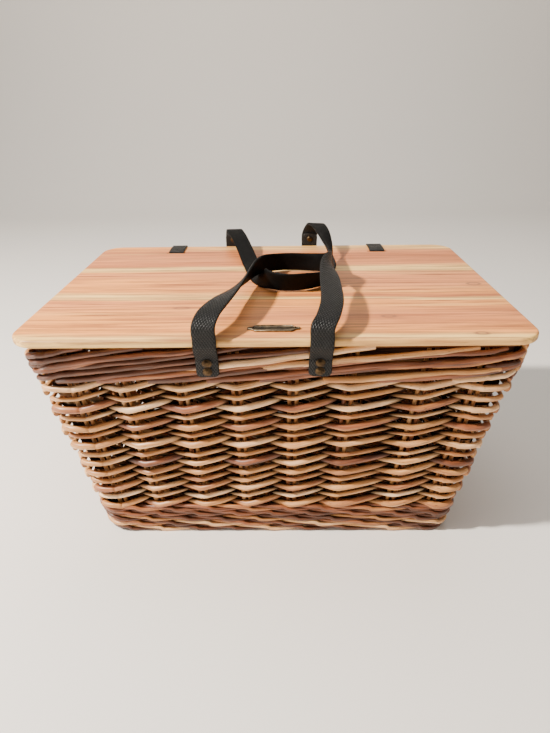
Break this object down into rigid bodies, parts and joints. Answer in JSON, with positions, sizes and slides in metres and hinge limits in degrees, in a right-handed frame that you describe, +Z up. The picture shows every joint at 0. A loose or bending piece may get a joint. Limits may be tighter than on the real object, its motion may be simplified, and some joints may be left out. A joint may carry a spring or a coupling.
{
  "type": "woven picnic basket",
  "caption": "Tapered rectangular woven willow basket with a flat hinged wooden lid and leather carrying handles that fold down over it.",
  "frame": {"origin": "on the floor, under the middle of the base", "axes": "+Z up, the front wall with the name plate faces -Y, +X to the right when facing the front wall"},
  "size_m": [0.45, 0.3232, 0.2764],
  "materials": {
    "willow": "stained, satin",
    "acacia": "oiled, satin",
    "black_leather": "smooth inside, fine diamond emboss outside",
    "aged_brass": "dark, rubbed bright on the edges"
  },
  "bodies": {
    "basket": {"stakes_front": "willow", "stakes_right": "willow", "stakes_back": "willow", "stakes_left": "willow", "weaver_course_1_a": "willow", "weaver_course_1_b": "willow", "weaver_course_2_a": "willow", "weaver_course_2_b": "willow", "weaver_course_3_a": "willow", "weaver_course_3_b": "willow", "weaver_course_4_a": "willow", "weaver_course_4_b": "willow", "weaver_course_5_a": "willow", "weaver_course_5_b": "willow", "foot_rod_1": "willow", "foot_rod_2": "willow", "foot_rod_3": "willow", "foot_rod_4": "willow", "rim_rod_outer_1": "willow", "rim_rod_outer_2": "willow", "rim_rod_outer_3": "willow", "rim_rod_inner_1": "willow", "rim_rod_inner_2": "willow", "rim_rod_inner_3": "willow", "rim_top_rod": "willow", "base_stick_1": "willow", "base_stick_2": "willow", "base_stick_3": "willow", "base_stick_4": "willow", "base_stick_5": "willow", "base_weave": "willow", "hinge_loop_left": "black_leather", "hinge_loop_right": "black_leather", "front_rivet_left_upper": "aged_brass", "front_rivet_left_lower": "aged_brass", "front_rivet_right_upper": "aged_brass", "front_rivet_right_lower": "aged_brass", "back_rivet_left_upper": "aged_brass", "back_rivet_left_lower": "aged_brass", "back_rivet_right_upper": "aged_brass", "back_rivet_right_lower": "aged_brass"},
    "lid": {"lid_board": "acacia", "name_plate": "aged_brass", "plate_pin_left": "aged_brass", "plate_pin_right": "aged_brass"},
    "front_handle": {"front_handle_strap": "black_leather"},
    "back_handle": {"back_handle_strap": "black_leather", "back_lining_left": "black_leather", "back_lining_right": "black_leather"}
  },
  "joints": [
    {"name": "lid_hinge", "type": "hinge", "parent": "basket", "child": "lid", "pos_m": [0, 0.156, 0.2368], "axis": [-1, 0, 0], "range_deg": [0, 100], "deforming": ["hinge_loop_left", "hinge_loop_right"]},
    {"name": "front_handle_swing", "type": "hinge", "parent": "basket", "child": "front_handle", "pos_m": [0, -0.15129, 0.22664], "axis": [1, 0, 0], "range_deg": [0, 110], "deforming": ["front_handle_strap"]},
    {"name": "back_handle_swing", "type": "hinge", "parent": "basket", "child": "back_handle", "pos_m": [0, 0.15129, 0.22664], "axis": [-1, 0, 0], "range_deg": [0, 110], "deforming": ["back_handle_strap", "back_lining_left", "back_lining_right"]}
  ]
}
